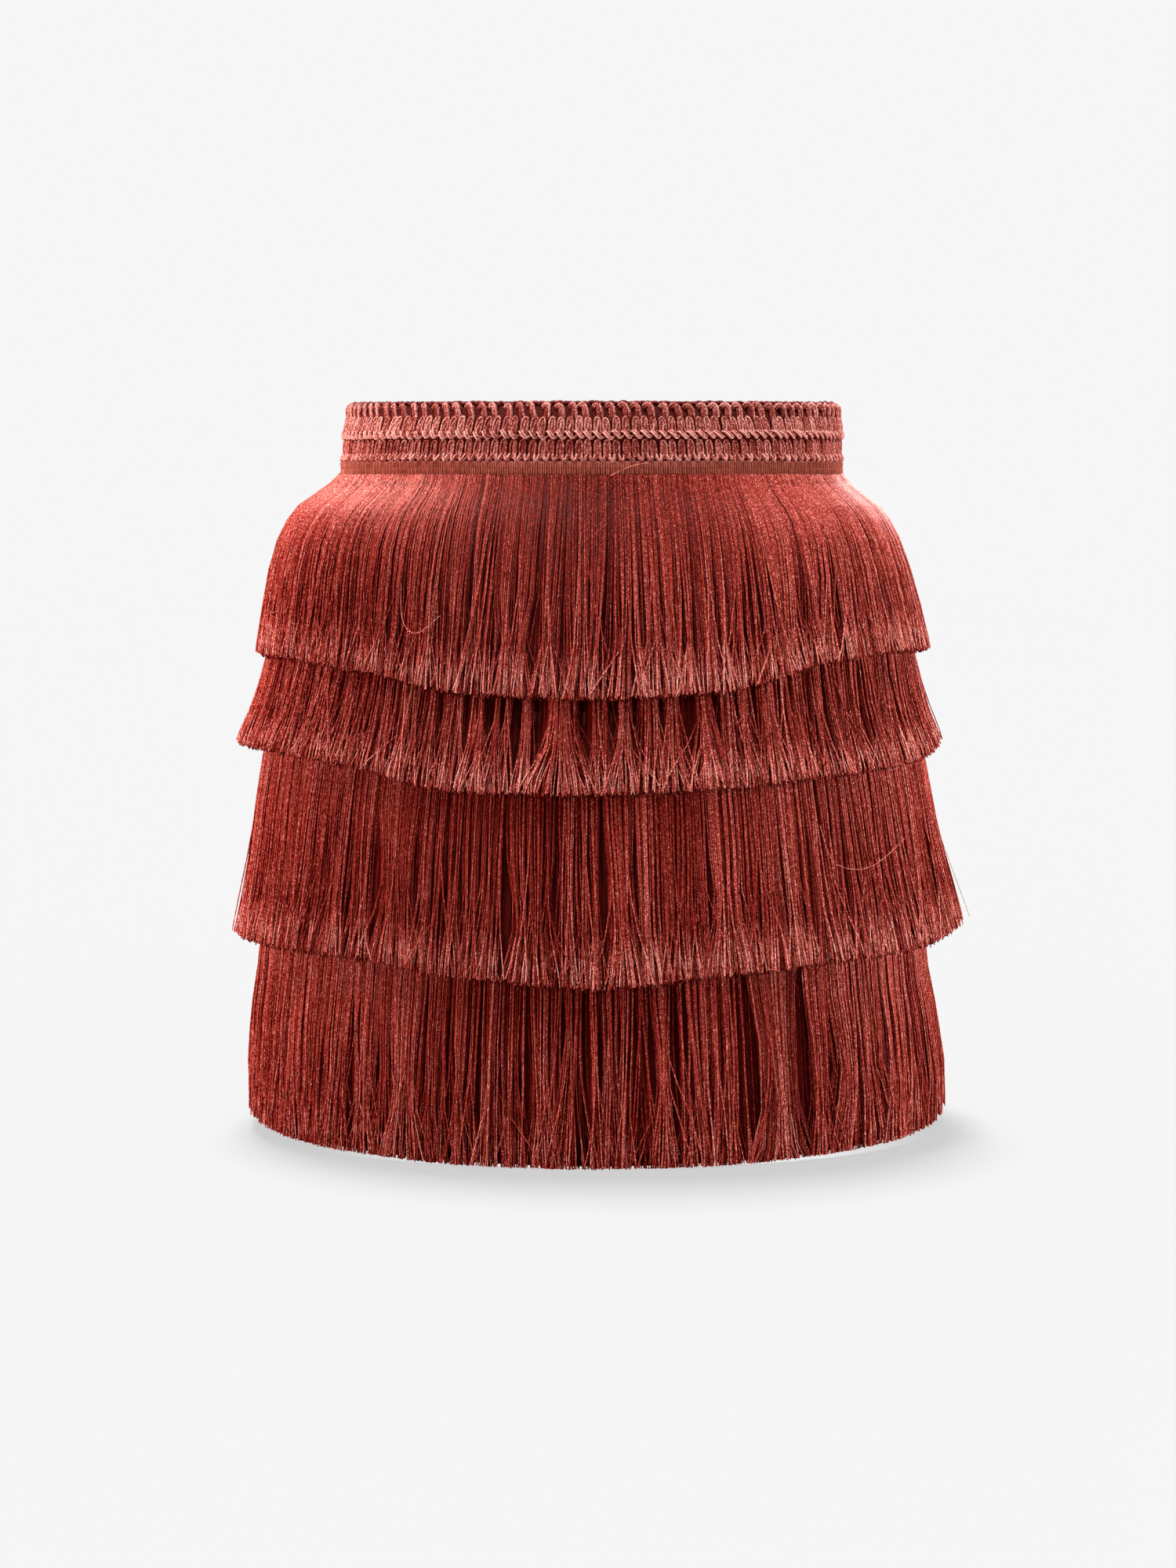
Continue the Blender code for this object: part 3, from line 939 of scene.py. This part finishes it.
BAND_WALL = 0.0030
GROUND_WALL = 0.0003
GROUND_IN = 0.0010
YARN_RADIUS = 0.00062
YARN_SIDES = 4
YARN_FLUFF = 2.4
YARN_SHADES = (
    (0.00, (0.085, 0.0012, 0.0005, 1)),
    (0.50, (0.345, 0.0450, 0.0300, 1)),
    (1.00, (0.840, 0.3500, 0.2900, 1)),
)

# A ground sheet painted near black: painted shade that shows through the gaps between stitches.
BAND_SHADE_DARK = (0.03, 0.001, 0.0006, 1)
BAND_SHADE_LIGHT = (0.13, 0.009, 0.005, 1)

# Paths of yarn in one stitch: across as a share of the stitch, up as a share of the row, and out.
LOOP = (
    (-0.25, 0.10, -0.0013), (-0.30, 0.30, -0.0006), (-0.315, 0.62, -0.0003), (-0.29, 0.83, -0.0003),
    (-0.20, 0.96, -0.0005), (-0.07, 1.01, -0.0006), (0.07, 1.01, -0.0006), (0.20, 0.96, -0.0005),
    (0.29, 0.83, -0.0003), (0.315, 0.62, -0.0003), (0.30, 0.30, -0.0006), (0.25, 0.10, -0.0013),
)
FILLING = ((-0.02, 0.10, -0.0011), (0.02, 0.50, -0.0009), (0.00, 0.90, -0.0011))
SLANT = ((-0.12, 0.26, -0.0010), (-0.06, 0.44, 0.0000), (0.06, 0.66, 0.0001), (0.12, 0.88, -0.0008))
CHAIN = (
    (-0.56, 0.34, -0.0012), (-0.34, 0.32, 0.0003), (-0.08, 0.17, 0.0009), (0.20, 0.02, 0.0006),
    (0.42, 0.03, 0.0000), (0.58, 0.10, -0.0011),
)
CHAIN_PLY = (
    (-0.34, 0.41, -0.0012), (-0.12, 0.37, 0.0003), (0.12, 0.23, 0.0008), (0.38, 0.09, 0.0006),
    (0.60, 0.09, -0.0001), (0.76, 0.15, -0.0012),
)
CUP = (
    (0.24, 0.42, -0.0012), (0.28, 0.24, 0.0002), (0.38, 0.10, 0.0007), (0.52, 0.05, 0.0008),
    (0.64, 0.11, 0.0006), (0.72, 0.24, 0.0001), (0.76, 0.40, -0.0013),
)
CUP_PLY = (
    (0.10, 0.30, -0.0013), (0.22, 0.12, 0.0000), (0.38, 0.00, 0.0002), (0.52, -0.03, 0.0000),
    (0.68, 0.01, 0.0000), (0.82, 0.12, -0.0005), (0.92, 0.24, -0.0014),
)
POST_LEFT = ((0.06, -0.30, -0.0016), (0.03, 0.05, -0.0007), (-0.04, 0.42, -0.0004), (-0.10, 0.72, -0.0010))
POST_RIGHT = ((0.29, -0.30, -0.0016), (0.27, 0.05, -0.0007), (0.20, 0.42, -0.0004), (0.14, 0.72, -0.0010))
CAP = (
    (-0.42, 0.64, -0.0013), (-0.31, 0.79, -0.0001), (-0.12, 0.86, 0.0004), (0.06, 0.80, 0.0004),
    (0.18, 0.62, 0.0003), (0.25, 0.34, 0.0000), (0.30, -0.05, -0.0008),
)
CAP_PLY = (
    (-0.34, 0.52, -0.0014), (-0.23, 0.66, -0.0001), (-0.08, 0.70, 0.0003), (0.03, 0.56, 0.0003),
    (0.09, 0.32, 0.0001), (0.13, -0.02, -0.0009),
)
EDGE = (
    (-0.74, 0.84, -0.0014), (-0.40, 0.92, -0.0007), (-0.05, 0.95, -0.0003), (0.30, 0.93, -0.0003),
    (0.58, 0.86, -0.0007), (0.78, 0.78, -0.0014),
)

crochet = Finish("crochet_yarn", Roughness=0.7, Specular_IOR_Level=0.15)
fluff = crochet.noise(1100, 3, strand=crochet.number("strand"))
yarn_shade = crochet.number("tint") + (fluff - 0.5) * YARN_FLUFF
crochet.feed(Base_Color=crochet.node("ShaderNodeValToRGB", {"stops": YARN_SHADES}, {"Fac": yarn_shade}))
crochet.bump(fluff, 0.0006)
# The ground behind the stitches is painted dark, as the shade inside the band.
shaded_ground = Finish("band_shade_ground", Roughness=0.9, Specular_IOR_Level=0.1)
shade_grain = shaded_ground.noise(900, 2)
shaded_ground.feed(Base_Color=shaded_ground.blend(BAND_SHADE_DARK, BAND_SHADE_LIGHT, shade_grain))
shaded_ground.bump(shade_grain, 0.0005)

band = Hang("waistband")

# How much the stitches of an uneven row differ: in place and width as shares of a stitch, in
# height as a share of the row, in how far out they stand and how far they tilt, and in shade.
PLACE_VARIES = 0.07
WIDTH_VARIES = 0.06
HEIGHT_VARIES = 0.03
OUT_VARIES = 0.00015
TILT_VARIES = 0.0006
STITCH_SHADE = 0.06
YARN_SHADE = 0.07


def stitches(name, paths, pitch, low, high, lean, uneven, seed):
    """A row of stitches right round the band, on its outside and its inside.

    Low and high are the row's edges as shares of the band's height. Lean is how far the tops
    lean towards the centre front at the sides.
    """
    dice = np.random.default_rng(seed)
    count = round(band.girth / pitch)
    step = band.girth / count
    middles = (np.arange(count) + dice.normal(0, PLACE_VARIES * uneven, count)) * step
    stretch = dice.normal(1, WIDTH_VARIES * uneven, count)
    lift = dice.normal(0, HEIGHT_VARIES * uneven, count)
    proud = dice.normal(0, OUT_VARIES * uneven, count)
    tilt = dice.normal(0, TILT_VARIES * uneven, count) - lean * np.sin(band.bearing_at(middles))
    stitch_tint = dice.normal(0, STITCH_SHADE, count)
    pieces = []
    for part, path, radius, tint, inside in paths:
        across, up, out = np.array(path).T
        along = middles[:, None] + across * stretch[:, None] * step + tilt[:, None] * up
        height = low + (high - low) * (up + lift[:, None])
        out = out + proud[:, None]
        lines = [band.point(band.bearing_at(along), 1 - height, out)]
        if inside:
            lines.append(band.point(band.bearing_at(along), 1 - height, -BAND_WALL - out))
        lines = np.concatenate(lines)
        shades = tint + np.tile(stitch_tint, len(lines) // count) + dice.normal(0, YARN_SHADE, len(lines))
        piece = swept(f"{name}_{part}", lines, radius, YARN_SIDES, crochet.material, tint=shades[:, None])
        pieces.append(piece)
    return pieces


# The yarns of each stitch: path, thickness, shade, and whether it also shows inside the band.
# In the loops here and in the low loops, the filling is painted darker: painted shade inside the loop.
loops = (
    ("loops", LOOP, 1.08 * YARN_RADIUS, 0.66, True),
    ("filling", FILLING, 1.9 * YARN_RADIUS, 0.54, False),
)
low_loops = (
    ("loops", LOOP, 1.08 * YARN_RADIUS, 0.54, True),
    ("filling", FILLING, 1.9 * YARN_RADIUS, 0.42, False),
)
# The chain is painted lighter than the loops: painted highlight where it stands out at the row's foot.
chains = (
    ("chain", CHAIN, 1.05 * YARN_RADIUS, 0.95, True),
    ("chain_ply", CHAIN_PLY, 0.95 * YARN_RADIUS, 0.72, False),
    ("slants", SLANT, 0.95 * YARN_RADIUS, 0.64, False),
)
cups = (
    ("cups", CUP, 1.2 * YARN_RADIUS, 0.72, True),
    ("cup_ply", CUP_PLY, 1.05 * YARN_RADIUS, 0.58, False),
)
posts = (
    ("left_yarn", POST_LEFT, 1.45 * YARN_RADIUS, 0.38, True),
    ("right_yarn", POST_RIGHT, 1.45 * YARN_RADIUS, 0.38, True),
    ("cap", CAP, 1.35 * YARN_RADIUS, 0.66, False),
    ("cap_ply", CAP_PLY, 1.00 * YARN_RADIUS, 0.46, False),
)
# The edge chain is painted dark: painted shade along the top edge of the band.
edges = (("chain", EDGE, 1.25 * YARN_RADIUS, 0.14, False),)
worked = [
    *stitches("row_3", (*low_loops, *cups), 0.0049, 0.00, 0.348, lean=0.0022, uneven=0.45, seed=51),
    *stitches("row_2", (*loops, *chains), 0.0049, 0.378, 0.738, lean=0.0040, uneven=0.6, seed=52),
    *stitches("row_1", posts, 0.0068, 0.75, 1.00, lean=0.0, uneven=1.2, seed=53),
    *stitches("edge", edges, 0.0034, 0.75, 1.00, lean=0.0, uneven=0.9, seed=54),
]

ground = cloth_ring(
    "waistband_ground", band, 144, 6, lambda b, s: straight(b, s) - GROUND_IN, GROUND_WALL, shaded_ground.material
)
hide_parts("waistband")

# ------------------------------------------------------------------------------------------
# Loose threads. A few finer threads have worked free of the fringes. They are held at the root
# and lie across the tier in an arc.

LOOSE_RADIUS = 0.00018
LOOSE_TINT = 0.80
ROUTE_POINTS = 16

# Each lies on one tier: bearing in degrees, share of the drop and out, from its root to its tip.
LOOSE = (
    (1, ((4.6, 0.005, 0.0014), (8.0, -0.022, 0.0026), (11.6, -0.045, 0.0030), (16.0, -0.056, 0.0026))),
    (1, ((-46.0, 0.45, 0.0002), (-44.0, 0.70, 0.0018), (-40.5, 0.76, 0.0022), (-36.0, 0.66, 0.0018))),
    (1, ((47.0, 0.37, 0.0002), (50.5, 0.34, 0.0016), (55.0, 0.32, 0.0022), (60.0, 0.335, 0.0018))),
    (3, ((50.0, 0.42, 0.0004), (51.5, 0.58, 0.0020), (58.0, 0.62, 0.0026), (68.0, 0.52, 0.0020))),
    (3, ((86.0, 0.60, 0.0004), (88.0, 0.78, 0.0025), (90.5, 0.90, 0.0045), (89.0, 1.00, 0.0060))),
    (2, ((150.0, 0.60, 0.0004), (152.0, 0.80, 0.0020), (157.0, 0.88, 0.0024), (163.0, 0.80, 0.0018))),
    (4, ((-140.0, 0.55, 0.0004), (-138.0, 0.70, 0.0020), (-133.0, 0.80, 0.0024), (-129.0, 0.74, 0.0018))),
    (1, ((170.0, 0.50, 0.0002), (172.0, 0.72, 0.0018), (178.0, 0.80, 0.0022), (186.0, 0.70, 0.0018))),
)


def smooth_route(route, points):
    """A smooth curve through the points of a short route, as more points."""
    route = np.array(route)
    ends = np.concatenate([[2 * route[0] - route[1]], route, [2 * route[-1] - route[-2]]])
    place = np.linspace(0, len(route) - 1.0001, points)
    low = place.astype(int)
    t = (place - low)[:, None]
    a, b, c, d = (ends[low + i] for i in range(4))
    bend, twist = 2 * a - 5 * b + 4 * c - d, 3 * b - a - 3 * c + d
    return 0.5 * (2 * b + (c - a) * t + bend * t**2 + twist * t**3)


arcs = []
for number, route in LOOSE:
    bearing, share, out = smooth_route(route, ROUTE_POINTS).T
    arcs.append(Hang(f"fringe_{number}").point(np.radians(bearing), share, out))
loose_threads = swept(
    "loose_threads", np.array(arcs), LOOSE_RADIUS, YARN_SIDES, silk.material, tint=LOOSE_TINT
)
